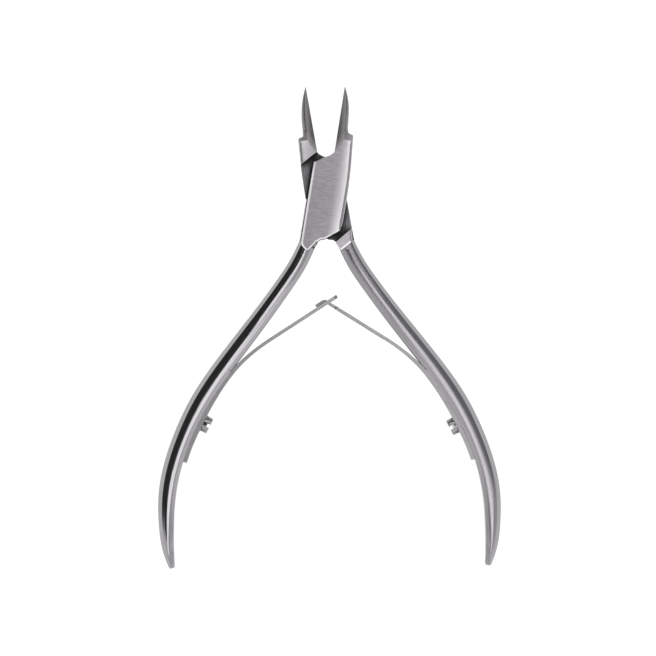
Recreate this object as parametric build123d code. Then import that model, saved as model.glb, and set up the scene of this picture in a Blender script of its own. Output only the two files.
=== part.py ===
from build123d import *
import os
from math import cos, radians, sin, sqrt

# Hand nipper for nails and cuticles: two crossed steel halves in a lap joint, turned on one
# pivot screw, with two leaf springs that hook into each other and push the handles apart.
# Millimetres.  The tool lies flat: +Z is the pivot axis, +Y points to the jaws, and the
# origin is on the pivot axis in the face that the joint rests on.
# Each half is drawn with the jaws closed, then swung open by half the opening angle.

# ---------------------------------------------------------------- driving dimensions
joint_thickness = 7.6      # both lap plates together, along Z
lap_clearance = 0.06       # running gap between the two lap plates
opening_angle = 19.4       # between the halves when the springs hold them open
joint_half_width = 5.45    # pivot axis to the joint's straight side, jaws closed
side_chamfer = 0.75        # along the joint's outer side
plate_draft = 0.7          # lean of the lap plate's inner side, over the plate's thickness

jaw_reach = 31.05          # pivot to the jaw tips
jaw_heel = 13.1            # pivot to where the cutting edge begins
tip_gap = 0.02             # half the gap left between closed tips
heel_gap = 0.12            # half the gap left between closed cutting edges at the heel
tip_width = 0.25
shoulder_y = 18.45         # where the joint's shoulder drops to the blade
shoulder_half_width = 4.5
shoulder_slope_y = 16.2    # where the shoulder starts to slope down
blade_root_width = 2.85
grind_radius = 9.0         # hollow grind of each bevel
grind_height_x = 2.3       # where the bevel would reach the joint's face

pivot_bearing_radius = 2.0
pivot_thread_radius = 1.75
pivot_head_radius = 3.0
pivot_head_height = 1.5
pivot_thread_length = 2.8
running_clearance = 0.03
seat_clearance = 0.05      # around screw heads and threads, and under the springs
head_clearance = 0.1       # under the spring screws' heads, over the bent spring
slot_width = 0.9           # screwdriver slots
slot_depth = 0.8

handle_corner = 1.25       # rounding of the handle's long edges
# Centre line of the handle with the jaws closed: x, y, width in plan, and how much slimmer
# than the joint the handle is along Z.  Where it is as thick as the joint, the tool rests on it.
handle_stations = [
    (-3.2, -12.6, 4.6, 1.8),
    (-4.65, -17.6, 4.7, 1.6),
    (-7.2, -23.6, 4.75, 1.4),
    (-15.85, -40.4, 5.05, 0.8),
    (-21.0, -50.1, 5.1, 0.4),
    (-25.15, -59.3, 5.1, 0.1),
    (-27.9, -68.3, 4.95, 0.02),
    (-29.45, -77.0, 4.9, 0.02),
    (-29.7, -85.3, 4.75, 0.2),
    (-28.6, -93.6, 4.1, 0.8),
    (-26.9, -100.5, 3.0, 1.9),
    (-25.2, -104.9, 1.5, 3.8),
]

spring_width = 5.2
spring_tip_width = 4.2
spring_thickness = 1.35
spring_lift_thickness = 1.05
spring_tip_thickness = 0.7
spring_seat_depth = 0.4    # how far the spring's tail is let into the handle
spring_rise_angle = 32.5   # of the free leaf above the X axis, springs relaxed
spring_meeting_y = -27.7   # where the two leaves cross
spring_straight = 18.5     # straight leaf, measured back from the crossing
spring_tail_at = 29.0      # along the handle's inner side, from its end
spring_middle_at = 40.2
spring_lift_at = 59.0      # where the leaf leaves the handle
peg_from_tail = 4.2        # along the spring
left_screw_from_tail = 11.8
right_screw_from_tail = 10.5
leaf_overrun = 3.0         # slotted leaf, beyond the crossing
leaf_slot_length = 3.6
leaf_slot_width = 1.9
tongue_width = 1.4
tongue_thickness = 0.6
tongue_length = 3.0        # before the crossing
tongue_bend_radius = 1.0
tongue_hook_length = 2.0

screw_thread_radius = 1.25
screw_thread_length = 3.6
screw_head_radius = 2.3
screw_head_height = 1.9
screw_dome = 0.3
peg_radius = 0.75
peg_length = 2.6

# ---------------------------------------------------------------- worked out
half_thickness = joint_thickness / 2
half_opening = opening_angle / 2
plate_floor = lap_clearance / 2


# ---------------------------------------------------------------- jaw
def jaw_outline():
    """Plan of the jaw and its shoulder, down to the step that the other plate stops short of."""
    heel = (heel_gap, jaw_heel)
    tip = (tip_gap, jaw_reach)
    tip_out = (tip_gap + tip_width, jaw_reach)
    blade_root = (blade_root_width, shoulder_y + 0.9)
    belly = (0.72 * blade_root_width, (jaw_reach + blade_root[1]) / 2 + 0.2)
    shoulder_in = (blade_root_width + 0.45, shoulder_y + 0.25)
    shoulder_out = (shoulder_half_width - 0.2, shoulder_y)
    side_top = (shoulder_half_width, shoulder_y - 0.3)
    side_low = (joint_half_width - 0.3, 10.4)
    step_in = (heel_gap + 0.25, jaw_heel - 0.15)
    edges = [
        Line(heel, tip),
        Line(tip, tip_out),
        Spline(tip_out, belly, blade_root, tangents=[(0.42, -1), (0.05, -1)]),
        Spline(blade_root, shoulder_in, tangents=[(0.05, -1), (1, -0.15)]),
        Line(shoulder_in, shoulder_out),
        Line(shoulder_out, side_top),
        Line(side_top, side_low),
        Line(side_low, step_in),
        Line(step_in, heel),
    ]
    return make_face(Wire(edges))


def jaw_thickness_profile():
    """Side view of the jaw: full thickness at the joint, a sloping shoulder, a slim blade."""
    top = [
        (0, half_thickness),
        (shoulder_slope_y, half_thickness),
        (shoulder_y, half_thickness - 0.95),
        (24.0, half_thickness - 1.95),
        (28.0, half_thickness - 2.85),
        (jaw_reach + 0.5, 0.2),
    ]
    bottom = [(y, -z) for y, z in reversed(top)]
    face = make_face(Polyline(*(top + bottom), close=True))
    return Plane.YZ * face


def grind_cutter():
    """The grinding wheel's path above the cutting edge: a long cylinder with a ball end."""
    rise, run = half_thickness, grind_height_x
    chord = sqrt(rise**2 + run**2)
    back = sqrt(grind_radius**2 - (chord / 2) ** 2)
    centre_x = run / 2 - back * rise / chord
    centre_z = rise / 2 + back * run / chord
    start_y = jaw_heel + 5.3
    wheel = Pos(centre_x, start_y, centre_z) * Sphere(grind_radius)
    length = jaw_reach + 5 - start_y
    barrel = Pos(centre_x, start_y + length / 2, centre_z) * Rot(90, 0, 0)
    return wheel + barrel * Cylinder(grind_radius, length)


def jaw():
    """Jaw block and blade, ground hollow on both sides of its cutting edge."""
    body = extrude(Pos(0, 0, -half_thickness) * jaw_outline(), joint_thickness)
    for face in (body.faces().sort_by(Axis.Z)[0], body.faces().sort_by(Axis.Z)[-1]):
        body = chamfer(face.edges().sort_by(Axis.X)[-1], side_chamfer)
    body = body & extrude(jaw_thickness_profile(), joint_half_width * 2)
    cutter = grind_cutter()
    return body - cutter - mirror(cutter, Plane.XY)


# ---------------------------------------------------------------- lap plate and handle root
def lap_plate():
    """The plate that crosses over the other half, with a chamfered outer side."""
    side_top = (joint_half_width - 0.3, 10.4)
    side_low = (joint_half_width - 0.15, -7.6)
    crotch = (0.2, -10.95)
    plate_corner = (-2.4, 11.25)
    edges = [
        Line((heel_gap, jaw_heel), (heel_gap + 0.25, jaw_heel - 0.15)),
        Line((heel_gap + 0.25, jaw_heel - 0.15), side_top),
        ThreePointArc(side_top, (joint_half_width, 1.5), side_low),
        Line(side_low, (1.35, -10.6)),
        Line((1.35, -10.6), crotch),
        Line(crotch, (-1.0, -11.95)),
        ThreePointArc((-1.0, -11.95), (-1.4, -13.4), (-2.8, -14.5)),
        ThreePointArc((-2.8, -14.5), (-4.4, -14.0), (-joint_half_width, -12.2)),
        Line((-joint_half_width, -12.2), (-joint_half_width, 9.1)),
        Line((-joint_half_width, 9.1), plate_corner),
        ThreePointArc(plate_corner, (-1.0, 11.95), (heel_gap, jaw_heel)),
    ]
    face = make_face(Wire(edges))
    plate = extrude(Pos(0, 0, plate_floor) * face, half_thickness - plate_floor)
    lean = [
        (-joint_half_width, 0),
        (-joint_half_width + plate_draft, half_thickness),
        (-joint_half_width - 2, half_thickness),
        (-joint_half_width - 2, 0),
    ]
    wedge = Plane.XZ * make_face(Polyline(*lean, close=True))
    plate -= Pos(0, 30, 0) * extrude(wedge, 60)
    outer = plate.faces().sort_by(Axis.Z)[-1].edges().sort_by(Axis.X)[-1]
    return chamfer(outer, side_chamfer)


def handle_root_block():
    """Full-thickness block behind the other half's plate, where the handle begins."""
    points = [(-joint_half_width, -8.75), (-0.35, -11.75), (-1.4, -14.2), (-5.1, -12.2)]
    face = make_face(Polyline(*points, close=True))
    return extrude(Pos(0, 0, -half_thickness) * face, half_thickness + plate_floor)


# ---------------------------------------------------------------- handle
spine = Spline(*[(x, y) for x, y, width, slimmer in handle_stations])


def spine_frame(x, y):
    """Direction along the handle and towards its inner side, at a station."""
    along = spine.tangent_at(spine.param_at_point(Vector(x, y, 0)))
    inward = Vector(-along.Y, along.X, 0)
    return along, inward


def handle():
    """The curved handle, lofted through rounded sections."""
    sections = []
    for x, y, width, slimmer in handle_stations:
        along, inward = spine_frame(x, y)
        corner = min(handle_corner, 0.4 * width)
        frame = Plane(origin=(x, y, 0), x_dir=inward, z_dir=along)
        sections.append(frame * RectangleRounded(width, joint_thickness - slimmer, corner))
    return loft(sections)


def inner_side():
    """The handle's inner side in plan, from its end to its root, with the tool open."""
    points = []
    for x, y, width, slimmer in reversed(handle_stations):
        inward = spine_frame(x, y)[1]
        point = Vector(x, y, 0) + inward * (width / 2)
        points.append(point.rotate(Axis.Z, -half_opening))
    return Spline(*points)


# ---------------------------------------------------------------- springs, with the tool open
seat_line = inner_side()


def place_on(curve, distance, let_in=0):
    """A point that far along a curve, moved let_in to its left, with the two directions."""
    along = curve.tangent_at(distance, PositionMode.LENGTH)
    outward = Vector(-along.Y, along.X, 0)
    point = curve.position_at(distance, PositionMode.LENGTH) + outward * let_in
    return point, along, outward


leaf_direction = Vector(cos(radians(spring_rise_angle)), sin(radians(spring_rise_angle)), 0)
leaf_back = Vector(-leaf_direction.Y, leaf_direction.X, 0)
crossing = Vector(0, spring_meeting_y, 0)
tail, tail_along, tail_out = place_on(seat_line, spring_tail_at, spring_seat_depth)
middle, middle_along, middle_out = place_on(seat_line, spring_middle_at, 0.7 * spring_seat_depth)
lift, lift_along, lift_out = place_on(seat_line, spring_lift_at, -seat_clearance)
leaf_start = crossing - leaf_direction * spring_straight + leaf_back * spring_tip_thickness / 2


def back_curve(shift):
    """The spring's face against the handle, moved by shift towards the handle."""
    points = [
        tail + tail_out * shift,
        middle + middle_out * shift,
        lift + lift_out * shift,
        leaf_start + leaf_back * shift,
    ]
    return Spline(*points, tangents=[tail_along, leaf_direction])


def front_curve():
    """The spring's face towards the other handle."""
    points = [
        tail - tail_out * spring_thickness,
        middle - middle_out * spring_thickness,
        lift - lift_out * spring_lift_thickness,
        leaf_start - leaf_back * spring_tip_thickness,
    ]
    return Spline(*points, tangents=[tail_along, leaf_direction])


def spring_strip(run):
    """A spring from its tail to run millimetres past its straight leaf's start."""
    back, front = back_curve(0), front_curve()
    back_end = leaf_start + leaf_direction * run
    front_end = back_end - leaf_back * spring_tip_thickness
    edges = [
        back,
        Line(back @ 1, back_end),
        Line(back_end, front_end),
        Line(front_end, front @ 1),
        front,
        Line(front @ 0, back @ 0),
    ]
    face = make_face(Wire(edges))
    return extrude(Pos(0, 0, -spring_width / 2) * face, spring_width)


def leaf_frame(z_dir):
    """Frame at the crossing with X along the left leaf."""
    return Plane(origin=crossing, x_dir=leaf_direction, z_dir=z_dir)


def narrowed(strip, reach):
    """The strip, narrowed towards a rounded tip that far past the crossing."""
    half, tip_half = spring_width / 2, spring_tip_width / 2
    corner = 0.8
    side = [(-90, -half), (-18, -half), (reach - corner, -tip_half), (reach, corner - tip_half)]
    outline = side + [(x, -z) for x, z in reversed(side)]
    face = make_face(Polyline(*outline, close=True))
    frame = leaf_frame(leaf_back)
    return strip & extrude(frame * face, 60, both=True)


def screw_place(from_tail):
    """Where a screw sits: its head's bearing face, pointing away from the left handle."""
    seat, along, outward = place_on(back_curve(0), from_tail)
    bearing = seat - outward * (spring_thickness + head_clearance)
    return Plane(origin=bearing, x_dir=(0, 0, 1), z_dir=-outward)


def peg_place():
    """Where the left peg sits: flush with the spring's front face."""
    seat, along, outward = place_on(back_curve(0), peg_from_tail)
    return Plane(origin=seat - outward * spring_thickness, x_dir=(0, 0, 1), z_dir=-outward)


def with_holes(strip, screw_from_tail):
    """The strip with clearance holes for its screw and its peg."""
    for place, radius in ((screw_place(screw_from_tail), screw_thread_radius),
                          (peg_place(), peg_radius)):
        strip -= place * Cylinder(radius + seat_clearance, 4 * spring_thickness)
    return strip


def slotted_spring():
    """Left spring: its wide end has a slot for the other leaf's tongue."""
    strip = narrowed(spring_strip(spring_straight + leaf_overrun), leaf_overrun)
    slot = Box(leaf_slot_length, leaf_slot_width, 4 * spring_thickness)
    return with_holes(strip, left_screw_from_tail) - leaf_frame(leaf_back) * slot


def tongue():
    """The narrow end that passes through the slot and hooks over, drawn beside the left leaf."""
    cross = 180 - 2 * spring_rise_angle
    rise = (cos(radians(cross)), sin(radians(cross)))
    start = Vector(-rise[0] * tongue_length, -rise[1] * tongue_length)
    bend = Vector(rise[0] * 0.3, rise[1] * 0.3)
    path = Line(start, bend)
    curl = JernArc(bend, rise, tongue_bend_radius, 180 - cross)
    hook = Line(curl @ 1, (curl @ 1) + Vector(-tongue_hook_length, 0))
    middle = Wire([path, curl, hook])
    section = Plane(origin=start, x_dir=(-rise[1], rise[0], 0), z_dir=(*rise, 0))
    bar = sweep(section * Rectangle(tongue_thickness, tongue_width), path=middle)
    return leaf_frame((0, 0, 1)) * bar


def tongued_spring():
    """Right spring: the mirrored strip, ending in the hooked tongue."""
    run = spring_straight - tongue_length + 0.4
    strip = narrowed(spring_strip(run), 0.8 - tongue_length)
    return mirror(with_holes(strip, right_screw_from_tail), Plane.YZ) + tongue()


# ---------------------------------------------------------------- fasteners
def spring_screw():
    """Slotted cheese-head screw, head up, its bearing face at the origin."""
    head = Cylinder(screw_head_radius, screw_head_height, align=(Align.CENTER, Align.CENTER, Align.MIN))
    head = fillet(head.edges().sort_by(Axis.Z)[-1], screw_dome)
    slot = Pos(0, 0, screw_head_height) * Box(3 * screw_head_radius, slot_width, 2 * slot_depth)
    length = spring_thickness + screw_thread_length
    thread = Cylinder(screw_thread_radius - 0.02, length, align=(Align.CENTER, Align.CENTER, Align.MAX))
    return head - slot + thread


def pivot_screw():
    """Shouldered screw: slotted head flush in the rear plate, thread in the front plate."""
    upward = (Align.CENTER, Align.CENTER, Align.MIN)
    head_low = -half_thickness + seat_clearance
    shank_low = head_low + pivot_head_height
    head = Pos(0, 0, head_low) * Cylinder(pivot_head_radius, pivot_head_height, align=upward)
    shank = Pos(0, 0, shank_low) * Cylinder(pivot_bearing_radius, plate_floor - shank_low, align=upward)
    thread = Pos(0, 0, plate_floor) * Cylinder(pivot_thread_radius - 0.02, pivot_thread_length, align=upward)
    slot = Pos(0, 0, head_low) * Box(3 * pivot_head_radius, slot_width, 2 * slot_depth)
    return head - slot + shank + thread


# ---------------------------------------------------------------- the two halves
def plain_half():
    """A half with its jaw on the right and its handle on the left, jaws closed."""
    return jaw() + lap_plate() + handle_root_block() + handle()


def spring_pocket(screw_from_tail):
    """What is milled off the left handle for the spring, its screw and its peg."""
    wall = back_curve(seat_clearance)
    step = Vector(-tail_along.X, -tail_along.Y, 0) * 0.1
    low = (wall @ 0) + step
    reach = 8
    edges = [
        wall,
        Line(wall @ 1, (wall @ 1) - leaf_back * reach),
        Line((wall @ 1) - leaf_back * reach, low - tail_out * reach),
        Line(low - tail_out * reach, low),
        Line(low, wall @ 0),
    ]
    face = make_face(Wire(edges))
    pocket = extrude(Pos(0, 0, -joint_thickness) * face, 2 * joint_thickness)
    top = (Align.CENTER, Align.CENTER, Align.MAX)
    length = spring_thickness + screw_thread_length + 0.3
    pocket += screw_place(screw_from_tail) * Cylinder(screw_thread_radius, length, align=top)
    return pocket + peg_place() * Cylinder(peg_radius + 0.01, peg_length + 0.2, align=top)


def front_half():
    """The half whose plate shows on top: threaded for the pivot screw."""
    hole = Cylinder(pivot_thread_radius, 2 * (pivot_thread_length + 0.2))
    half = plain_half() - hole
    return half.rotate(Axis.Z, -half_opening) - spring_pocket(left_screw_from_tail)


def rear_half():
    """The same forging turned over, bored for the pivot screw's shank and head."""
    half = plain_half().rotate(Axis.Y, 180)
    half -= Cylinder(pivot_bearing_radius + running_clearance, 2 * joint_thickness)
    recess_depth = pivot_head_height + 2 * seat_clearance
    recess = Cylinder(pivot_head_radius + seat_clearance, 2 * recess_depth)
    half -= Pos(0, 0, -half_thickness) * recess
    return half.rotate(Axis.Z, half_opening) - mirror(spring_pocket(right_screw_from_tail), Plane.YZ)


def placed(shape):
    """From the joint's middle plane to the resting face."""
    return Pos(0, 0, half_thickness) * shape


left_screw = screw_place(left_screw_from_tail) * spring_screw()
right_screw = mirror(screw_place(right_screw_from_tail) * spring_screw(), Plane.YZ)
left_peg = peg_place() * Cylinder(peg_radius, peg_length, align=(Align.CENTER, Align.CENTER, Align.MAX))

nodes = {
    "front_half": front_half(),
    "rear_half": rear_half(),
    "pivot_screw": pivot_screw(),
    "left_spring": slotted_spring(),
    "right_spring": tongued_spring(),
    "left_spring_screw": left_screw,
    "right_spring_screw": right_screw,
    "left_spring_peg": left_peg,
    "right_spring_peg": mirror(left_peg, Plane.YZ),
}

os.makedirs("parts", exist_ok=True)
for name, shape in nodes.items():
    export_step(placed(shape), f"parts/{name}.step")
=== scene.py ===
from math import acos, atan2, cos, hypot, pi, radians, sin, sqrt, tan

import bmesh
import bpy
import numpy as np
from mathutils import Matrix, Vector


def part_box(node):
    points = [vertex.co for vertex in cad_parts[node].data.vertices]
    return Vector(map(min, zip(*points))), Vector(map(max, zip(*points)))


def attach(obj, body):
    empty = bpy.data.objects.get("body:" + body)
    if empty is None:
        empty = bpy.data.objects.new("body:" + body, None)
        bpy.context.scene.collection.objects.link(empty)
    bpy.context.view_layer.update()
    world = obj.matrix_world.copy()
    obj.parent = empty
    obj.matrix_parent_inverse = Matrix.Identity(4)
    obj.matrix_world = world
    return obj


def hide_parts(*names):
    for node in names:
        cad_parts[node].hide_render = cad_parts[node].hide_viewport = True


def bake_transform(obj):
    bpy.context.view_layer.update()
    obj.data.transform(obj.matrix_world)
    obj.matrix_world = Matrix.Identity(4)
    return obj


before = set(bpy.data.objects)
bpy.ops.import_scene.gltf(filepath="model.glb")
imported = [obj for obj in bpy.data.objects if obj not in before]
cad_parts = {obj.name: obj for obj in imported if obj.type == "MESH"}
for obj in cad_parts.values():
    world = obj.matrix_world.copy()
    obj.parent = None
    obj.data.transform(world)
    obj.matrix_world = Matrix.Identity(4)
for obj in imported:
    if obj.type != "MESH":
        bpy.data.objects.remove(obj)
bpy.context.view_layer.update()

# ------------------------------------------------------------------------- forged steel halves
# Two halves of stainless steel, drop forged from the same dies, filed and polished. Each is a
# jaw, half of a lap joint and a bowed handle; one is turned over and laid on the other.
# Sizes are in millimetres, jaws closed, with Z measured from the joint's middle plane.
MM = 0.001
half_joint = (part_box("front_half")[1].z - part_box("rear_half")[0].z) / 2 / MM
open_turn = radians(9.7)
plate_floor = 0.03
side_x = 5.45
blade_start, blade_length = 13.1, 17.95
filed_depth, flat_depth = 0.35, 0.13
thread_radius, thread_depth = 1.8, 2.85
bore_radius = 2.03
recess_radius, recess_depth = 3.05, 1.65
through = 1
spine_steps = 320

# Each handle station is (x, y, width, depth) on the handle's middle line.
handle_stations = [
    (-3.2, -12.6, 4.6, 5.8),
    (-4.65, -17.6, 4.7, 6.0),
    (-7.2, -23.6, 4.75, 6.2),
    (-15.85, -40.4, 5.05, 6.8),
    (-21.0, -50.1, 5.1, 7.2),
    (-25.15, -59.3, 5.1, 7.5),
    (-27.9, -68.3, 4.95, 7.58),
    (-29.45, -77.0, 4.9, 7.58),
    (-29.7, -85.3, 4.75, 7.4),
    (-28.6, -93.6, 4.1, 6.8),
    (-26.9, -100.5, 3.0, 5.7),
    (-25.2, -104.9, 1.5, 3.8),
]


def smooth_line(points, count):
    """Natural cubic curve through the points, spaced by their distance in plan."""
    points = np.array(points, float)
    step = np.linalg.norm(np.diff(points[:, :2], axis=0), axis=1)
    at = np.concatenate([[0], np.cumsum(step)])
    n = len(points)
    left, right = np.zeros((n, n)), np.zeros_like(points)
    left[0, 0] = left[-1, -1] = 1
    for i in range(1, n - 1):
        left[i, i - 1 : i + 2] = step[i - 1], 2 * (step[i - 1] + step[i]), step[i]
        right[i] = 6 * ((points[i + 1] - points[i]) / step[i] - (points[i] - points[i - 1]) / step[i - 1])
    bend = np.linalg.solve(left, right)
    out = []
    for t in np.linspace(0, at[-1], count):
        i = min(int(np.searchsorted(at, t, side="right")) - 1, n - 2)
        h, a, b = step[i], at[i + 1] - t, t - at[i]
        out.append(
            bend[i] * a**3 / (6 * h)
            + bend[i + 1] * b**3 / (6 * h)
            + (points[i] / h - bend[i] * h / 6) * a
            + (points[i + 1] / h - bend[i + 1] * h / 6) * b
        )
    return np.array(out)


def rounded(corners, steps=5):
    """A closed outline of (x, y, radius) corners, each corner turned into an arc."""
    out = []
    for i, (x, y, radius) in enumerate(corners):
        here = np.array([x, y], float)
        if radius <= 0:
            out.append(here)
            continue
        before = np.array(corners[i - 1][:2], float) - here
        after = np.array(corners[(i + 1) % len(corners)][:2], float) - here
        before_length, after_length = np.linalg.norm(before), np.linalg.norm(after)
        before, after = before / before_length, after / after_length
        half = acos(np.clip(before @ after, -1, 1)) / 2
        reach = min(radius / tan(half), 0.48 * before_length, 0.48 * after_length)
        radius = reach * tan(half)
        middle = before + after
        centre = here + middle / np.linalg.norm(middle) * radius / sin(half)
        start, end = here + before * reach - centre, here + after * reach - centre
        turn = atan2(start[0] * end[1] - start[1] * end[0], start @ end)
        for k in range(steps + 1):
            a = turn * k / steps
            turned_x = start[0] * cos(a) - start[1] * sin(a)
            turned_y = start[0] * sin(a) + start[1] * cos(a)
            out.append(centre + np.array([turned_x, turned_y]))
    return np.array(out)


# Two of the finishes are painted light: the bright one is a painted highlight on filed edges, and the shaded
# one is painted shade on walls inside the lap.
FINISHES = 6
POLISHED, BRUSHED, PAINTED_HIGHLIGHT, GROUND, RECESS, PAINTED_SHADE = range(FINISHES)


def solid(name, rings, finish=POLISHED):
    """A piece skinned over rings of points in millimetres; finish is one number, or one for
    each face, ring by ring and then the two ends."""
    count = len(rings[0])
    verts = [tuple(p) for ring in rings for p in ring]
    faces = [
        (r * count + i, r * count + (i + 1) % count, (r + 1) * count + (i + 1) % count, (r + 1) * count + i)
        for r in range(len(rings) - 1)
        for i in range(count)
    ]
    faces += [tuple(reversed(range(count))), tuple((len(rings) - 1) * count + i for i in range(count))]
    mesh = bpy.data.meshes.new(name)
    mesh.from_pydata(verts, [], faces)
    for slot in range(FINISHES):
        mesh.materials.append(None)
    for i, face in enumerate(mesh.polygons):
        face.material_index = finish if isinstance(finish, int) else finish[i]
    skin = bmesh.new()
    skin.from_mesh(mesh)
    if skin.calc_volume(signed=True) < 0:
        bmesh.ops.reverse_faces(skin, faces=skin.faces)
    skin.to_mesh(mesh)
    skin.free()
    piece = bpy.data.objects.new(name, mesh)
    bpy.context.scene.collection.objects.link(piece)
    return piece


def settle(piece):
    """Applies a piece's modifiers to its mesh."""
    bpy.context.view_layer.update()
    shape = piece.evaluated_get(bpy.context.evaluated_depsgraph_get())
    mesh = bpy.data.meshes.new_from_object(shape)
    piece.modifiers.clear()
    piece.data = mesh
    return piece


def shaped(piece, tools, operation):
    """Joins tools to a piece, or cuts it with them, and removes them."""
    for tool in tools:
        change = piece.modifiers.new(operation, "BOOLEAN")
        change.operation, change.solver, change.object = operation, "MANIFOLD", tool
        settle(piece)
        bpy.data.objects.remove(tool)
    return piece


def handle_section(half_width, half_depth):
    """Half of the handle's section, from its outer side over the crown to its inner side."""
    outer_band, inner_band, sag = 0.85 + 0.35 * (half_depth - 2.9) / 0.9, 0.95, 0.36
    a, h = half_width, half_depth
    outer_band, inner_band = min(outer_band, 0.62 * a), min(inner_band, 0.62 * a)
    left, right = -a + outer_band, a - inner_band
    centre, reach = (left + right) / 2, max((right - left) / 2, 0.02)
    sag = min(sag, 0.5 * reach)
    crown = [(centre + reach * s, h - sag * s * s, 0) for s in np.linspace(-1, 1, 13)]
    crown[0] = (*crown[0][:2], 0.45)
    crown[-1] = (*crown[-1][:2], 0.45)
    outer_rise, inner_rise = 1.12 * outer_band, 0.8 * inner_band
    top = [(-a, h - sag - outer_rise, 0.7), *crown, (a, h - sag - inner_rise, 0.35)]
    return top + [(u, -v, r) for u, v, r in reversed(top)]


def handle():
    """The bowed handle, from inside the joint to its blunt rounded end."""
    line = smooth_line(handle_stations, spine_steps)[:-2]
    path = np.gradient(line[:, :2], axis=0)
    path /= np.linalg.norm(path, axis=1)[:, None]
    rings = []
    for (x, y, width, depth), (dx, dy) in zip(line, path):
        outline = rounded(handle_section(width / 2, depth / 2))
        rings.append([(x - dy * u, y + dx * u, v) for u, v in outline])
    last, (dx, dy) = np.array(rings[-1]), path[-1]
    middle = last.mean(axis=0)
    nose, nose_rings, blunt = 0.55, 6, 6.4
    for k in range(1, nose_rings + 1):
        a = k / blunt * pi / 2
        rings.append(middle + (last - middle) * cos(a) + np.array([dx, dy, 0]) * nose * sin(a))
    return solid("handle", rings)


def inset(outline, depths):
    """An outline moved inwards, each side by its own depth, with mitred corners."""
    nearly_straight = 0.12
    n = len(outline)
    out = []
    for i in range(n):
        a, b, c = outline[i - 1], outline[i], outline[(i + 1) % n]
        u, v = (b - a) / np.linalg.norm(b - a), (c - b) / np.linalg.norm(c - b)
        nu, nv = np.array([u[1], -u[0]]), np.array([v[1], -v[0]])
        du, dv = depths[i - 1], depths[i]
        if abs(u[0] * v[1] - u[1] * v[0]) < nearly_straight:
            across = (nu + nv) / np.linalg.norm(nu + nv)
            out.append(b + across * (du + dv) / 2)
        else:
            out.append(b + np.linalg.solve(np.array([nu, nv]), np.array([du, dv])))
    return np.array(out)


def plate(name, sides, levels, ends=(BRUSHED, BRUSHED), bright=()):
    """A plate from clockwise sides, each (points, kind or two kinds it fades between), and
    levels, each (z, how far each kind of side is moved in). Sides in bright have a filed edge
    between the last levels, coloured with a painted highlight. The walls of the flare and edge
    sides, between the ledge and the filed band, are coloured with painted shade."""
    outline, blend = [], []
    for points, kinds in sides:
        first, last = (kinds, kinds) if isinstance(kinds, str) else kinds
        spans = len(points) - 1
        outline += [np.array(p, float) for p in points[:-1]]
        blend += [(first, last, (i + 0.5) / spans) for i in range(spans)]
    rings, finish = [], []
    for z, depth in levels:
        ring = inset(outline, [depth[f] * (1 - t) + depth[l] * t for f, l, t in blend])
        rings.append([(x, y, z) for x, y in ring])
    for (low, depth), (high, depth) in zip(levels, levels[1:]):
        level = abs((low + high) / 2)
        filed = level > half_joint - filed_depth
        for first, last, t in blend:
            if first == "step":
                finish.append(RECESS)
            # Painted shade on the flare and edge walls between the ledge and the filed band.
            elif first in ("flare", "edge") and not filed and low > plate_floor + 0.3:
                finish.append(PAINTED_SHADE)
            elif first in ("file", "side", "back") and level > half_joint - flat_depth:
                finish.append(BRUSHED)
            else:
                # Painted highlight on the filed band of the sides in bright.
                finish.append(PAINTED_HIGHLIGHT if filed and first in bright else POLISHED)
    return solid(name, rings, finish + list(ends))


def arc(start, middle, end, steps=12):
    """Points along the circle through three points."""
    a, b, c = (np.array(p, float) for p in (start, middle, end))
    d = 2 * (a[0] * (b[1] - c[1]) + b[0] * (c[1] - a[1]) + c[0] * (a[1] - b[1]))
    square = [p @ p for p in (a, b, c)]
    centre = np.array([
        (square[0] * (b[1] - c[1]) + square[1] * (c[1] - a[1]) + square[2] * (a[1] - b[1])) / d,
        (square[0] * (c[0] - b[0]) + square[1] * (a[0] - c[0]) + square[2] * (b[0] - a[0])) / d,
    ])
    s, m, e = a - centre, b - centre, c - centre
    cross = lambda p, q: p[0] * q[1] - p[1] * q[0]
    total = atan2(cross(s, m), s @ m) + atan2(cross(m, e), m @ e)
    out = []
    for k in range(steps + 1):
        t = total * k / steps
        turned_x, turned_y = s[0] * cos(t) - s[1] * sin(t), s[0] * sin(t) + s[1] * cos(t)
        out.append(tuple(centre + np.array([turned_x, turned_y])))
    return out


def straight(start, end, steps):
    """Points along a straight run."""
    return [tuple(np.array(start) + (np.array(end) - start) * k / steps) for k in range(steps + 1)]


heel, side_top = (0.12, blade_start), (5.15, 10.4)


def blade_side(shoulder):
    """The part of a jaw root's outline that ends inside the blade, from the heel outwards."""
    x, y = shoulder
    return [heel, (0.1, 19.6), (2.7, 19.6), (2.95, y + 0.55), (3.3, y + 0.3), (x, y)]


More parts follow.
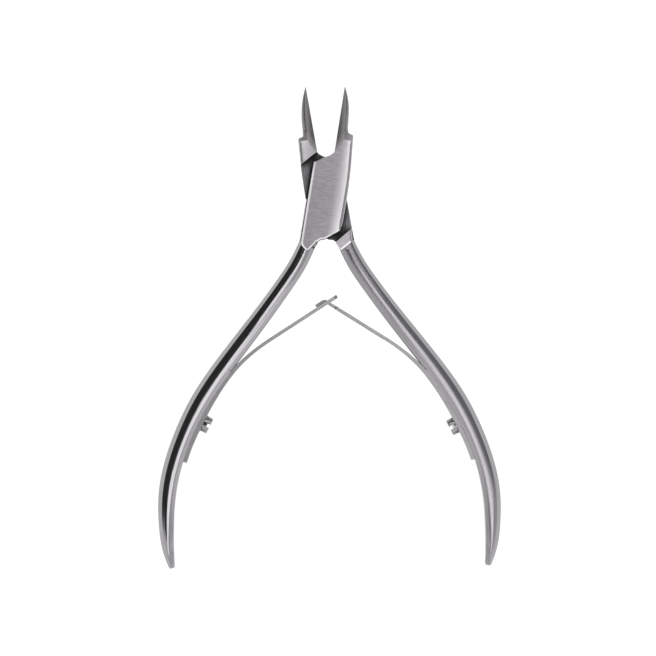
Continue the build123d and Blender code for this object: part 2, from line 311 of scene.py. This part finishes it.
def upper_half(shoulder):
    """The plate that lies over the other half and the upper half of the jaw's root."""
    side_low, crotch = (5.3, -7.6), (0.2, -10.95)
    lobe_right, lobe, lobe_left = (-1.0, -11.95), (-2.7, -14.45), (-side_x, -12.2)
    corner, bite = (-side_x, 9.1), (-2.4, 11.25)
    sides = [
        (blade_side(shoulder), "blade"),
        (straight(shoulder, side_top, 10), ("file", "side")),
        (arc(side_top, (side_x, 1.5), side_low, 30), "side"),
        ([side_low, (1.35, -10.6), crotch, lobe_right], "edge"),
        ([lobe_right, (-1.1, -12.25), lobe], "edge"),
        (arc(lobe, (-4.35, -13.9), lobe_left, 16), ("edge", "flare")),
        ([lobe_left, corner], "flare"),
        ([corner, bite], "back"),
        (arc(bite, (-1.0, 11.95), heel, 10), "back"),
    ]
    top = half_joint
    levels = [
        (plate_floor, dict(blade=0, file=0.0, side=0.0, edge=0.0, flare=0.0, back=0.0)),
        (plate_floor + 0.7, dict(blade=0, file=0.0, side=0.0, edge=0.02, flare=0.24, back=0.02)),
        (top - 1.6, dict(blade=0, file=0.02, side=0.02, edge=0.04, flare=0.45, back=0.05)),
        (top - 0.62, dict(blade=0, file=0.06, side=0.06, edge=0.12, flare=0.5, back=0.08)),
        (top - 0.34, dict(blade=0, file=0.26, side=0.26, edge=0.14, flare=0.54, back=0.1)),
        (top - 0.16, dict(blade=0, file=0.52, side=0.52, edge=0.3, flare=0.82, back=0.12)),
        (top - 0.1, dict(blade=0, file=0.6, side=0.85, edge=0.37, flare=0.9, back=0.16)),
        (top - 0.04, dict(blade=0, file=0.7, side=1.7, edge=0.43, flare=0.97, back=0.22)),
        (top, dict(blade=0, file=0.76, side=3.3, edge=0.46, flare=1.1, back=0.28)),
    ]
    return plate("upper_half", sides, levels, (RECESS, BRUSHED), ("edge", "flare"))


def lower_half(shoulder):
    """The lower half of the jaw's root, which ends at the step the other half turns against."""
    step_in = (0.37, 12.95)
    sides = [
        (blade_side(shoulder), "blade"),
        ([shoulder, side_top], "side"),
        ([side_top, step_in, heel], "step"),
    ]
    low = -half_joint
    levels = [
        (low, dict(step=0.06, side=1.15, blade=0)),
        (low + 0.03, dict(step=0.04, side=0.8, blade=0)),
        (low + 0.1, dict(step=0.02, side=0.56, blade=0)),
        (low + 0.34, dict(step=0.0, side=0.26, blade=0)),
        (low + 0.62, dict(step=0.0, side=0.06, blade=0)),
        (low + 1.5, dict(step=0.0, side=0.02, blade=0)),
        (plate_floor - 0.02, dict(step=0, side=0, blade=0)),
        (plate_floor + 0.02, dict(step=0.02, side=0.01, blade=0.01)),
        (1.0, dict(step=0.02, side=0.01, blade=0.01)),
    ]
    return plate("lower_half", sides, levels)


def shoulder_files(shoulder):
    """Cutters for the slopes and the corner that are filed on the jaw's shoulder."""
    top = half_joint
    slope = [
        (15.9, top + 0.102),
        (16.7, top - 0.17),
        (18.45, 2.85),
        (20.0, 1.9),
        (20.0, top + through),
        (15.9, top + through),
    ]
    files = [
        solid("file", [[(x, y, side * z) for y, z in slope] for x in (-1, 7)], BRUSHED) for side in (1, -1)
    ]
    x, y = shoulder
    corner = [(x + 0.06, y - 0.4), (x - 0.26, y + 0.12), (x + 0.6, y + 0.6), (x + 0.6, y - 0.4)]
    return files + [solid("file", [[(x, y, z) for x, y in corner] for z in (-4, 4)])]


def root_block():
    """The handle's root below the lap plate, as thick as the other half's plate."""
    left, right, low_right, low_left = (-side_x, -8.75), (-0.35, -11.75), (-1.4, -14.2), (-5.1, -12.2)
    sides = [
        ([left, right], "step"),
        ([right, low_right], "edge"),
        ([low_right, low_left], "bright"),
        ([low_left, left], "side"),
    ]
    low = -half_joint
    levels = [
        (plate_floor + 0.5, dict(step=0, edge=0, bright=0, side=0.1)),
        (low + 0.9, dict(step=0, edge=0, bright=0, side=0.1)),
        (low + 0.5, dict(step=0.0, edge=0.06, bright=0.0, side=0.3)),
        (low + 0.28, dict(step=0.02, edge=0.1, bright=0.02, side=0.55)),
        (low, dict(step=0.06, edge=0.16, bright=0.46, side=0.85)),
    ]
    levels.reverse()
    return plate("root", sides, levels, bright=("bright",))


def blade(stations):
    """The blade's rounded back, from the shoulder to the point, before its edge is ground."""
    rings = []
    for y, out_x, depth in smooth_line(stations, 90):
        ridge = 0.42 * out_x
        curve = [
            (ridge + (out_x - ridge) * sin(a) ** 0.9, depth * cos(a) ** 0.8)
            for a in np.linspace(0, pi / 2, 17)
        ]
        upper = [(0.12 - 0.1 * (y - blade_start) / blade_length, depth), *curve]
        rings.append([(x, y, z) for x, z in upper + [(x, -z) for x, z in reversed(upper[:-1])]])
    return solid("blade", rings, GROUND)


def grinding_wheel(side):
    """The round path of the wheel that hollows one face of the cutting edge."""
    radius, rise, run = 9.0, half_joint, 2.3
    chord = hypot(rise, run)
    back = sqrt(radius**2 - (chord / 2) ** 2)
    centre_x, centre_z = run / 2 - back * rise / chord, rise / 2 + back * run / chord
    start, heel_wall, past_point = 18.4, 12.98, 36
    profile = []
    for y in [*np.linspace(heel_wall, start, 30), *np.linspace(start + 1, past_point, 14)]:
        profile.append((y, sqrt(radius**2 - (start - min(y, start)) ** 2)))
    turns = np.linspace(0, 2 * pi, 241)[:-1]
    return solid("wheel", [
        [(centre_x + r * cos(t), y, side * (centre_z + r * sin(t))) for t in turns] for y, r in profile
    ], GROUND)


def cylinder(name, radius, low, high, steps=96):
    """A plain round cutter along Z."""
    turn = np.linspace(0, 2 * pi, steps + 1)[:-1]
    return solid(name, [[(radius * cos(t), radius * sin(t), z) for t in turn] for z in (low, high)])


def half(shoulder, blade_stations):
    """One half with its jaw on the right and its handle on the left, jaws closed."""
    body = shaped(lower_half(shoulder), [upper_half(shoulder)], "UNION")
    shaped(body, shoulder_files(shoulder), "DIFFERENCE")
    shaped(body, [blade(blade_stations)], "UNION")
    shaped(body, [grinding_wheel(1), grinding_wheel(-1)], "DIFFERENCE")
    return shaped(body, [root_block(), handle()], "UNION")


def place(piece, turned_over):
    """Opens a half, turns it over if it is the rear one, and brings it into the row frame."""
    turn = Matrix.Rotation(pi, 4, "Y") if turned_over else Matrix.Identity(4)
    swing = Matrix.Rotation(open_turn if turned_over else -open_turn, 4, "Z")
    lift = Matrix.Translation((0, 0, half_joint))
    piece.data.transform(Matrix.Scale(MM, 4) @ lift @ swing @ turn)
    piece.data.update()
    return piece


def refined(node, name, edge, cuts=()):
    """The node's own shape as one welded mesh, cut across where it has to bend, its edges eased."""
    weld, near_flat, sharp = 1e-6, radians(0.4), radians(35)
    piece = bpy.data.objects.new(name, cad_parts[node].data.copy())
    bpy.context.scene.collection.objects.link(piece)
    skin = bmesh.new()
    skin.from_mesh(piece.data)
    bmesh.ops.remove_doubles(skin, verts=skin.verts, dist=weld)
    if edge:
        bmesh.ops.dissolve_limit(skin, angle_limit=near_flat, verts=skin.verts, edges=skin.edges)
    for point, direction in cuts:
        everything = [*skin.verts, *skin.edges, *skin.faces]
        bmesh.ops.bisect_plane(skin, geom=everything, plane_co=point, plane_no=direction)
    skin.to_mesh(piece.data)
    skin.free()
    if edge:
        ease = piece.modifiers.new("eased edges", "BEVEL")
        ease.width, ease.segments = edge * MM, 3
        ease.limit_method, ease.angle_limit = "ANGLE", sharp
        settle(piece)
    return piece


def smooth(piece, angle):
    """Dissolves slivers and near-flat edges, and shades the piece smooth up to that angle. It
    leaves some edges of the rear half and the right spring without exactly two faces."""
    sliver, near_flat = 2e-6, radians(0.06)
    skin = bmesh.new()
    skin.from_mesh(piece.data)
    bmesh.ops.dissolve_degenerate(skin, edges=skin.edges, dist=sliver)
    bmesh.ops.dissolve_limit(
        skin, angle_limit=near_flat, verts=skin.verts, edges=skin.edges, delimit={"MATERIAL"}
    )
    skin.to_mesh(piece.data)
    skin.free()
    piece.data.shade_smooth()
    piece.data.set_sharp_from_angle(angle=radians(angle))
    flats = piece.modifiers.new("flats stay flat", "WEIGHTED_NORMAL")
    flats.keep_sharp, flats.weight = True, 90
    settle(piece)


# Each blade station is (y, how far out its back stands, half its depth); the points are alike.
jaw_point = [(28.4, 1.3, 0.9), (31.04, 0.14, 0.2)]
front_blade = [(17.0, 3.3, 2.75), (19.4, 2.8, 2.7), (22.3, 2.5, 2.3), (25.4, 2.1, 1.65), *jaw_point]
rear_blade = [(16.2, 3.5, 2.75), (19.0, 3.05, 2.7), (22.3, 2.75, 2.3), (25.4, 2.2, 1.65), *jaw_point]
front = half((4.48, 18.2), front_blade)
front.name = "front_half_steel"
rear = half((4.6, 17.4), rear_blade)
rear.name = "rear_half_steel"
outside = half_joint + through
thread = cylinder("thread", thread_radius, plate_floor - through, plate_floor + thread_depth)
shaped(front, [thread], "DIFFERENCE")
shaped(rear, [cylinder("bore", bore_radius, plate_floor - through, outside)], "DIFFERENCE")
shaped(rear, [cylinder("recess", recess_radius, half_joint - recess_depth, outside)], "DIFFERENCE")
place(front, False)
place(rear, True)
shaped(front, [refined("left_spring", "seat", 0)], "DIFFERENCE")
shaped(rear, [refined("right_spring", "seat", 0)], "DIFFERENCE")
for piece, body, node in ((front, "front", "front_half"), (rear, "rear", "rear_half")):
    smooth(piece, 24)
    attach(piece, body)
    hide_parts(node)


def grain(piece, way):
    """Stores at each face corner the place in which x runs along the grain, in millimetres."""
    marks = piece.data.attributes.new("grain", "FLOAT_VECTOR", "CORNER")
    points = np.array([v.co for v in piece.data.vertices]) / MM
    out = np.zeros((len(piece.data.loops), 3))
    corners = np.array([loop.vertex_index for loop in piece.data.loops])
    finish = np.zeros(len(corners), int)
    for face in piece.data.polygons:
        finish[face.loop_start : face.loop_start + face.loop_total] = face.material_index
    for number in range(FINISHES):
        chosen = finish == number
        if chosen.any():
            out[chosen] = way(number, points[corners[chosen]])
    marks.data.foreach_set("vector", out.ravel())


spine = smooth_line(handle_stations, spine_steps)[:, :2]


def half_grain(sign):
    """Grain of a half: along its handle, across its flats and up its jaw."""
    c, s = cos(open_turn), sin(open_turn)
    line = np.column_stack([spine[:, 0] * c + spine[:, 1] * s, spine[:, 1] * c - spine[:, 0] * s])
    line = line * (sign, 1)
    travel = np.concatenate([[0], np.cumsum(np.linalg.norm(np.diff(line, axis=0), axis=1))])
    path = np.gradient(line, axis=0)
    path /= np.linalg.norm(path, axis=1)[:, None]

    def way(number, points):
        x, y, z = points.T
        if number == POLISHED:
            nearest = np.array([
                np.argmin((line[:, 0] - a) ** 2 + (line[:, 1] - b) ** 2) for a, b in zip(x, y)
            ])
            offset = points[:, :2] - line[nearest]
            run = travel[nearest] + (offset * path[nearest]).sum(axis=1)
            aside = offset[:, 0] * path[nearest][:, 1] - offset[:, 1] * path[nearest][:, 0]
            return np.column_stack([run, aside, z])
        if number == BRUSHED:
            return np.column_stack([x, y, z])
        return np.column_stack([y, x, z])

    return way


grain(front, half_grain(1))
grain(rear, half_grain(-1))


def group(name, inputs, outputs):
    """An empty node group with its sockets, and its two ends."""
    tree = bpy.data.node_groups.new(name, "ShaderNodeTree")
    for label, kind, value in inputs:
        socket = tree.interface.new_socket(label, in_out="INPUT", socket_type="NodeSocket" + kind)
        if value is not None:
            socket.default_value = value
    for label, kind in outputs:
        tree.interface.new_socket(label, in_out="OUTPUT", socket_type="NodeSocket" + kind)
    return tree, tree.nodes.new("NodeGroupInput"), tree.nodes.new("NodeGroupOutput")


# Grinding lines: fine scratches that run along the first axis of the stored grain.
lines_group, given, result = group(
    "grinding_lines",
    [("Length", "Float", 0.3), ("Fineness", "Float", 5.0)],
    [("Lines", "Float"), ("Smudge", "Float")],
)
made, wire = lines_group.nodes, lines_group.links
place_node = made.new("ShaderNodeAttribute")
place_node.attribute_name = "grain"
stretch = made.new("ShaderNodeCombineXYZ")
wire.new(given.outputs["Length"], stretch.inputs[0])
wire.new(given.outputs["Fineness"], stretch.inputs[1])
wire.new(given.outputs["Fineness"], stretch.inputs[2])
spread = made.new("ShaderNodeVectorMath")
spread.operation = "MULTIPLY"
wire.new(place_node.outputs["Vector"], spread.inputs[0])
wire.new(stretch.outputs[0], spread.inputs[1])
scratch = made.new("ShaderNodeTexNoise")
scratch.inputs["Scale"].default_value = 1
scratch.inputs["Detail"].default_value = 4
scratch.inputs["Roughness"].default_value = 0.65
wire.new(spread.outputs[0], scratch.inputs["Vector"])
smudge = made.new("ShaderNodeTexNoise")
smudge.inputs["Scale"].default_value = 0.35
smudge.inputs["Detail"].default_value = 3
wire.new(place_node.outputs["Vector"], smudge.inputs["Vector"])
wire.new(scratch.outputs["Fac"], result.inputs["Lines"])
wire.new(smudge.outputs["Fac"], result.inputs["Smudge"])

# Edge wear: 1 where the steel turns sharply and handling has rubbed it bright.
wear_group, given, result = group(
    "edge_wear",
    [("Width", "Float", 0.0002), ("Sharpness", "Float", 4.0)],
    [("Wear", "Float")],
)
made, wire = wear_group.nodes, wear_group.links
eased = made.new("ShaderNodeBevel")
eased.samples = 6
wire.new(given.outputs["Width"], eased.inputs["Radius"])
true_way = made.new("ShaderNodeNewGeometry")
meet = made.new("ShaderNodeVectorMath")
meet.operation = "DOT_PRODUCT"
wire.new(eased.outputs[0], meet.inputs[0])
wire.new(true_way.outputs["Normal"], meet.inputs[1])
bend = made.new("ShaderNodeMath")
bend.operation = "SUBTRACT"
bend.inputs[0].default_value = 1
wire.new(meet.outputs["Value"], bend.inputs[1])
strong = made.new("ShaderNodeMath")
strong.operation = "MULTIPLY"
strong.use_clamp = True
wire.new(bend.outputs[0], strong.inputs[0])
wire.new(given.outputs["Sharpness"], strong.inputs[1])
wire.new(strong.outputs[0], result.inputs["Wear"])


# Sockets of a Mix node that mixes colours, which share their names with its other kinds.
AMOUNT, FIRST, SECOND, MIXED = 0, 6, 7, 2
# Near-black of the painted shade in inner corners.
painted_shade_black = (0.012, 0.012, 0.013, 1)


def steel(name, dark, light, worn, rough, length, fineness, scratch_depth, metal=1.0, rim=1.0,
          painted_corner_shade=False, painted_highlight_band=None):
    """Steel with grinding lines between two colours and worn edges. Its second-last argument
    darkens its inner corners with painted shade; its last is (which way is outwards, start, end,
    colour) of a band of painted highlight."""
    material = bpy.data.materials.new(name)
    material.use_nodes = True
    nodes, links = material.node_tree.nodes, material.node_tree.links
    shader = nodes["Principled BSDF"]
    shader.inputs["Metallic"].default_value = metal
    shader.inputs["Specular Tint"].default_value = (rim, rim, rim, 1)
    lines, wear = nodes.new("ShaderNodeGroup"), nodes.new("ShaderNodeGroup")
    lines.node_tree, wear.node_tree = lines_group, wear_group
    lines.inputs["Length"].default_value, lines.inputs["Fineness"].default_value = length, fineness
    ramp = nodes.new("ShaderNodeValToRGB")
    ramp.color_ramp.elements[0].position, ramp.color_ramp.elements[1].position = 0.36, 0.66
    ramp.color_ramp.elements[0].color, ramp.color_ramp.elements[1].color = (*dark, 1), (*light, 1)
    links.new(lines.outputs["Lines"], ramp.inputs[0])
    wear_and_painted_light = nodes.new("ShaderNodeMix")
    wear_and_painted_light.data_type = "RGBA"
    links.new(wear.outputs["Wear"], wear_and_painted_light.inputs[AMOUNT])
    links.new(ramp.outputs[0], wear_and_painted_light.inputs[FIRST])
    wear_and_painted_light.inputs[SECOND].default_value = (*worn, 1)
    # Painted highlight: a band of the flat is set brighter towards its outer side.
    if painted_highlight_band:
        outwards, start, end, highlight_colour = painted_highlight_band
        place, aside = nodes.new("ShaderNodeAttribute"), nodes.new("ShaderNodeVectorMath")
        reach = nodes.new("ShaderNodeMapRange")
        place.attribute_name = "grain"
        aside.operation = "DOT_PRODUCT"
        aside.inputs[1].default_value = (outwards * cos(open_turn), -sin(open_turn), 0)
        links.new(place.outputs["Vector"], aside.inputs[0])
        reach.interpolation_type = "SMOOTHSTEP"
        reach.inputs["From Min"].default_value, reach.inputs["From Max"].default_value = start, end
        links.new(aside.outputs["Value"], reach.inputs[0])
        highlight_mix = nodes.new("ShaderNodeMix")
        highlight_mix.data_type = "RGBA"
        links.new(reach.outputs[0], highlight_mix.inputs[AMOUNT])
        links.new(wear_and_painted_light.outputs[MIXED], highlight_mix.inputs[FIRST])
        highlight_mix.inputs[SECOND].default_value = (*highlight_colour, 1)
        wear_and_painted_light = highlight_mix
    # Painted shade: inner corners are darkened by how occluded they are.
    if painted_corner_shade:
        corner, corner_shade_mix = nodes.new("ShaderNodeAmbientOcclusion"), nodes.new("ShaderNodeMix")
        corner.samples = 8
        corner.inputs["Distance"].default_value = 2.2 * MM
        corner_shade_amount = nodes.new("ShaderNodeMapRange")
        corner_shade_amount.interpolation_type = "SMOOTHSTEP"
        corner_shade_amount.inputs["From Min"].default_value, corner_shade_amount.inputs["From Max"].default_value = 0.45, 0.98
        links.new(corner.outputs["AO"], corner_shade_amount.inputs[0])
        corner_shade_mix.data_type = "RGBA"
        links.new(corner_shade_amount.outputs[0], corner_shade_mix.inputs[AMOUNT])
        corner_shade_mix.inputs[FIRST].default_value = painted_shade_black
        links.new(wear_and_painted_light.outputs[MIXED], corner_shade_mix.inputs[SECOND])
        wear_and_painted_light = corner_shade_mix
    links.new(wear_and_painted_light.outputs[MIXED], shader.inputs["Base Color"])
    dull = nodes.new("ShaderNodeMapRange")
    dull.inputs["To Min"].default_value, dull.inputs["To Max"].default_value = rough
    links.new(lines.outputs["Smudge"], dull.inputs[0])
    links.new(dull.outputs[0], shader.inputs["Roughness"])
    bump = nodes.new("ShaderNodeBump")
    bump.inputs["Strength"].default_value = 0.5
    bump.inputs["Distance"].default_value = scratch_depth * MM
    links.new(lines.outputs["Lines"], bump.inputs["Height"])
    links.new(bump.outputs[0], shader.inputs["Normal"])
    return material


# The filed edges are set lighter than bare steel as a painted highlight, the walls inside the lap
# darker as painted shade, and the brighter band on the flats is a painted highlight. They hold the
# look from straight above.
polished = steel(
    "polished_steel", dark=(0.325, 0.315, 0.328), light=(0.375, 0.365, 0.38), worn=(0.45, 0.44, 0.46),
    rough=(0.07, 0.14), length=0.06, fineness=3.6, scratch_depth=0.005,
)
# Painted highlight: near-white and only part metal, so the filed edge stays white whatever it faces.
painted_highlight_edge = steel(
    "filed_edge_painted_highlight", dark=(0.93, 0.92, 0.94), light=(0.98, 0.97, 0.99), worn=(0.98, 0.97, 0.99),
    rough=(0.3, 0.4), length=0.2, fineness=5.0, scratch_depth=0.003, metal=0.4,
)
ground = steel(
    "ground_steel", dark=(0.165, 0.157, 0.163), light=(0.225, 0.215, 0.223), worn=(0.3, 0.29, 0.3),
    rough=(0.22, 0.34), length=0.3, fineness=4.0, scratch_depth=0.01, metal=0.7,
)
# The recess steel is set darker than the flats, partly for its rougher finish and partly as painted shade,
# and its inner corners get more painted shade.
recess_steel = steel(
    "recess_steel", dark=(0.17, 0.17, 0.178), light=(0.29, 0.285, 0.297), worn=(0.32, 0.32, 0.33),
    rough=(0.25, 0.4), length=0.25, fineness=3.0, scratch_depth=0.02, painted_corner_shade=True,
)
# Painted shade: near-black steel with a dark rim, for the walls inside the lap.
painted_shade_wall = steel(
    "painted_shade_wall", dark=(0.02, 0.02, 0.02), light=(0.04, 0.04, 0.04), worn=(0.08, 0.08, 0.08),
    rough=(0.5, 0.6), length=0.25, fineness=3.0, scratch_depth=0.02, metal=0.9, rim=0.1,
)
# The flats of each half get a band of painted highlight towards their outer side.
brushed_front = steel(
    "brushed_front", dark=(0.325, 0.303, 0.327), light=(0.455, 0.428, 0.457), worn=(0.55, 0.53, 0.55),
    rough=(0.3, 0.42), length=0.5, fineness=4.5, scratch_depth=0.02,
    painted_highlight_band=(1, 1.2, 5.5, (0.78, 0.755, 0.78)),
)
# The rear half's brushed steel is a lighter copy of the front's: its lighter colour is painted light.
brushed_rear = steel(
    "brushed_rear", dark=(0.43, 0.408, 0.43), light=(0.54, 0.518, 0.54), worn=(0.75, 0.73, 0.75),
    rough=(0.3, 0.42), length=0.5, fineness=4.5, scratch_depth=0.02,
    painted_highlight_band=(-1, 0.5, 5.4, (0.7, 0.675, 0.7)),
)
satin_rear = steel(
    "satin_rear", dark=(0.3, 0.29, 0.303), light=(0.365, 0.355, 0.37), worn=(0.45, 0.44, 0.46),
    rough=(0.2, 0.27), length=0.06, fineness=3.6, scratch_depth=0.003,
)
for piece, handle_finish, brushed in ((front, polished, brushed_front), (rear, satin_rear, brushed_rear)):
    for slot, material in enumerate((handle_finish, brushed, painted_highlight_edge, ground, recess_steel, painted_shade_wall)):
        piece.data.materials[slot] = material

# ------------------------------------------------------------------------- leaf springs
# Two hardened spring-steel leaves, pressed and satin finished, thick where they are screwed
# to the handles and thin at the ends. The right one's tongue hooks through the left one's slot.
leaf_lift = (24.656, -44.216)
leaf_free = (15.791, -37.345)
leaf_cuts, cut_spacing = range(-1, 17), 0.7
leaf_edge = 0.04
leaf_thicker = 0.13  # more than the node's own shape, on each side, at the leaf's free length
least_sideways = 0.1


def along_leaf(way):
    """Grain of a spring: x runs along its leaf."""
    a = atan2(way.y, way.x)
    return lambda number, p: np.column_stack(
        [p[:, 0] * cos(a) + p[:, 1] * sin(a), p[:, 1] * cos(a) - p[:, 0] * sin(a), p[:, 2]]
    )


springs = []
for side, body, leaf, name in (
    (-1, "front", "left_leaf", "left_spring"),
    (1, "rear", "right_leaf", "right_spring"),
):
    lift = Vector((side * leaf_lift[0], leaf_lift[1], half_joint)) * MM
    leaf_start = Vector((side * leaf_free[0], leaf_free[1], half_joint)) * MM
    way = (leaf_start - lift).normalized()
    cuts = [(lift + way * k * cut_spacing * MM, way) for k in leaf_cuts]
    spring = refined(name, name + "_steel", leaf_edge, cuts)
    for point in spring.data.vertices:
        flat = Vector((point.normal.x, point.normal.y, 0))
        if flat.length > least_sideways:
            leaf_part = min(max((point.co - lift).dot(way) / (leaf_start - lift).length, 0), 1)
            point.co += flat.normalized() * leaf_part * leaf_thicker * MM
    smooth(spring, 40)
    grain(spring, along_leaf(way))
    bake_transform(spring)
    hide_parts(name)
    springs.append(spring)
spring_steel = steel(
    "spring_steel", dark=(0.34, 0.33, 0.34), light=(0.44, 0.43, 0.44), worn=(0.44, 0.43, 0.44),
    rough=(0.38, 0.5), length=0.15, fineness=4.0, scratch_depth=0.01, metal=0.6,
)
for spring in springs:
    spring.data.materials.clear()
    spring.data.materials.append(spring_steel)

# ------------------------------------------------------------------------- screws and pegs
# Turned from stainless bar: two slotted cheese-head screws that hold the springs, a peg under
# each spring's tail, and the pivot screw, which goes in from the back of the joint.
turned = steel(
    "turned_steel", dark=(0.3, 0.29, 0.3), light=(0.4, 0.39, 0.4), worn=(0.6, 0.59, 0.6),
    rough=(0.06, 0.12), length=0.5, fineness=3.0, scratch_depth=0.006,
)
for node, body, slot, edge in (
    ("left_spring_screw", "front", "screws", 0.1),
    ("right_spring_screw", "rear", "screws", 0.1),
    ("left_spring_peg", "front", "pegs", 0.1),
    ("right_spring_peg", "rear", "pegs", 0.1),
    ("pivot_screw", "front", "pivot_screw", 0.15),
):
    piece = refined(node, node + "_steel", edge)
    smooth(piece, 30)
    grain(piece, lambda number, p: p)
    piece.data.materials.clear()
    piece.data.materials.append(turned)
    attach(piece, body)
    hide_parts(node)

# ------------------------------------------------------------------------- floor, light and camera
# A white table in a white tent with bright, dim and black cards on its ceiling, and two
# softboxes close over the tool, so that the polished steel shows long bright and dark bands.
table_reach = 2
floor_mesh = bpy.data.meshes.new("floor")
floor_mesh.from_pydata(
    [(x * table_reach, y * table_reach, 0) for x, y in ((-1, -1), (1, -1), (1, 1), (-1, 1))],
    [],
    [(0, 1, 2, 3)],
)
floor = bpy.data.objects.new("floor", floor_mesh)
bpy.context.scene.collection.objects.link(floor)
paper = bpy.data.materials.new("white_paper")
paper.use_nodes = True
shader = paper.node_tree.nodes["Principled BSDF"]
shader.inputs["Base Color"].default_value = (0.3, 0.3, 0.3, 1)
shader.inputs["Roughness"].default_value = 0.9
shader.inputs["Emission Color"].default_value = (1, 1, 1, 1)
shader.inputs["Emission Strength"].default_value = 0.94
floor.data.materials.append(paper)

world = bpy.data.worlds.new("tent")
bpy.context.scene.world = world
world.use_nodes = True
nodes, links = world.node_tree.nodes, world.node_tree.links
nodes.clear()


def maths(operation, a, b):
    """One sum on two values, each a number or a socket."""
    made = nodes.new("ShaderNodeMath")
    made.operation = operation
    for i, value in enumerate((a, b)):
        if hasattr(value, "node"):
            links.new(value, made.inputs[i])
        else:
            made.inputs[i].default_value = value
    return made.outputs[0]


def between(value, low, high, soft):
    """1 where value lies between low and high, with soft edges."""
    out = []
    for at, direction in ((low, 1), (high, -1)):
        ramp = nodes.new("ShaderNodeMapRange")
        ramp.interpolation_type = "SMOOTHSTEP"
        links.new(value, ramp.inputs[0])
        ramp.inputs["From Min"].default_value = at - soft * direction
        ramp.inputs["From Max"].default_value = at + soft * direction
        ramp.inputs["To Min"].default_value, ramp.inputs["To Max"].default_value = 0, 1
        out.append(ramp.outputs[0])
    return maths("MULTIPLY", *out)


# A place on the tent's ceiling is its distance across and along, over its height.
horizon = 0.02
card_slant = 0.15
where = nodes.new("ShaderNodeTexCoord")
split = nodes.new("ShaderNodeSeparateXYZ")
links.new(where.outputs["Generated"], split.inputs[0])
height = maths("MAXIMUM", split.outputs[2], horizon)
across = maths("DIVIDE", split.outputs[0], height)
along = maths("DIVIDE", split.outputs[1], height)
slanted = maths("SUBTRACT", along, maths("MULTIPLY", across, card_slant))


# The two numbers of a Mix node that mixes numbers.
FIRST_NUMBER, SECOND_NUMBER = 2, 3


def card(light, x, y, value, upward=slanted, soft=0.05):
    """A rectangle of that brightness on the tent's ceiling, over what is there."""
    mask = maths("MULTIPLY", between(across, *x, soft), between(upward, *y, soft))
    mixed = nodes.new("ShaderNodeMix")
    mixed.data_type = "FLOAT"
    links.new(mask, mixed.inputs[AMOUNT])
    if hasattr(light, "node"):
        links.new(light, mixed.inputs[FIRST_NUMBER])
    else:
        mixed.inputs[FIRST_NUMBER].default_value = light
    mixed.inputs[SECOND_NUMBER].default_value = value
    return mixed.outputs[0]


tent = 0.9
light = card(tent, (-60, 60), (-60, -0.8), 1.4, along, 0.3)  # bright, on the handles' side
light = card(light, (-2.4, 0.3), (-0.1, 3.6), 0.07)  # black, jaws' side, left
light = card(light, (0.06, 3.0), (0.02, 2.4), 0.36, along)  # dim, jaws' side, right
light = card(light, (-2.6, 0.3), (-2.6, -0.1), 1.15)  # bright, handles' side, left
light = card(light, (-0.6, 0.13), (-0.23, -0.08), 0.04, along)  # black strip just above
background = nodes.new("ShaderNodeBackground")
links.new(light, background.inputs[1])
out = nodes.new("ShaderNodeOutputWorld")
links.new(background.outputs[0], out.inputs[0])

# Two softboxes close over the tool. The left edge of the near one gives each handle its bright
# stripe; the far one, over the joint, is dim in its middle, where the camera looks through.
softbox_height = 0.11


def softbox(name, outline, glow):
    """A glowing sheet over the tool; glow is its centre, the radii between which it changes,
    and its brightness inside the first and outside the second."""
    mesh = bpy.data.meshes.new(name)
    corners = [(x * MM, y * MM, softbox_height) for x, y in outline]
    mesh.from_pydata(corners, [], [tuple(range(len(outline)))])
    box = bpy.data.objects.new(name, mesh)
    bpy.context.scene.collection.objects.link(box)
    box.visible_camera = False
    box.visible_shadow = False
    material = bpy.data.materials.new(name)
    material.use_nodes = True
    nodes, links = material.node_tree.nodes, material.node_tree.links
    shader = nodes["Principled BSDF"]
    shader.inputs["Base Color"].default_value = (0, 0, 0, 1)
    shader.inputs["Emission Strength"].default_value = 1
    where = nodes.new("ShaderNodeTexCoord")
    apart = nodes.new("ShaderNodeVectorMath")
    apart.operation = "DISTANCE"
    links.new(where.outputs["Object"], apart.inputs[0])
    centre, inner, outer, dim, full = glow
    apart.inputs[1].default_value = (centre[0] * MM, centre[1] * MM, softbox_height)
    ramp = nodes.new("ShaderNodeMapRange")
    ramp.interpolation_type = "SMOOTHSTEP"
    links.new(apart.outputs["Value"], ramp.inputs[0])
    ramp.inputs["From Min"].default_value, ramp.inputs["From Max"].default_value = inner * MM, outer * MM
    ramp.inputs["To Min"].default_value, ramp.inputs["To Max"].default_value = dim, full
    links.new(ramp.outputs[0], shader.inputs["Emission Color"])
    mesh.materials.append(material)


near_outline = [
    (8, 2), (29, -17), (45, -50), (60, -68), (87, -86), (58, -104), (42, -122), (42, -135),
    (-48, -135), (-26, -108), (-24, -86), (-12, -72), (-3, -43), (-14, -36), (-14, -27), (2, -15),
]
far_outline = [(-22, 4), (-45, 35), (-45, 90), (60, 90), (60, 30), (35, 4), (8, 3)]
softbox("near_softbox", near_outline, ((50, -60), 10, 42, 1.0, 2.0))
softbox("far_softbox", far_outline, ((0, 27), 9, 36, 0.12, 2.1))

lens_height = 0.75
camera_data = bpy.data.cameras.new("camera")
camera = bpy.data.objects.new("camera", camera_data)
bpy.context.scene.collection.objects.link(camera)
camera.location = (0.00009, -0.03456, lens_height)
camera.rotation_euler = (0, 0, -0.01)
frame_width = 0.17712
camera_data.lens = camera_data.sensor_width * (lens_height - half_joint * MM) / frame_width
camera_data.clip_start = 0.01
bpy.context.scene.camera = camera
bpy.context.scene.view_settings.view_transform = "Standard"
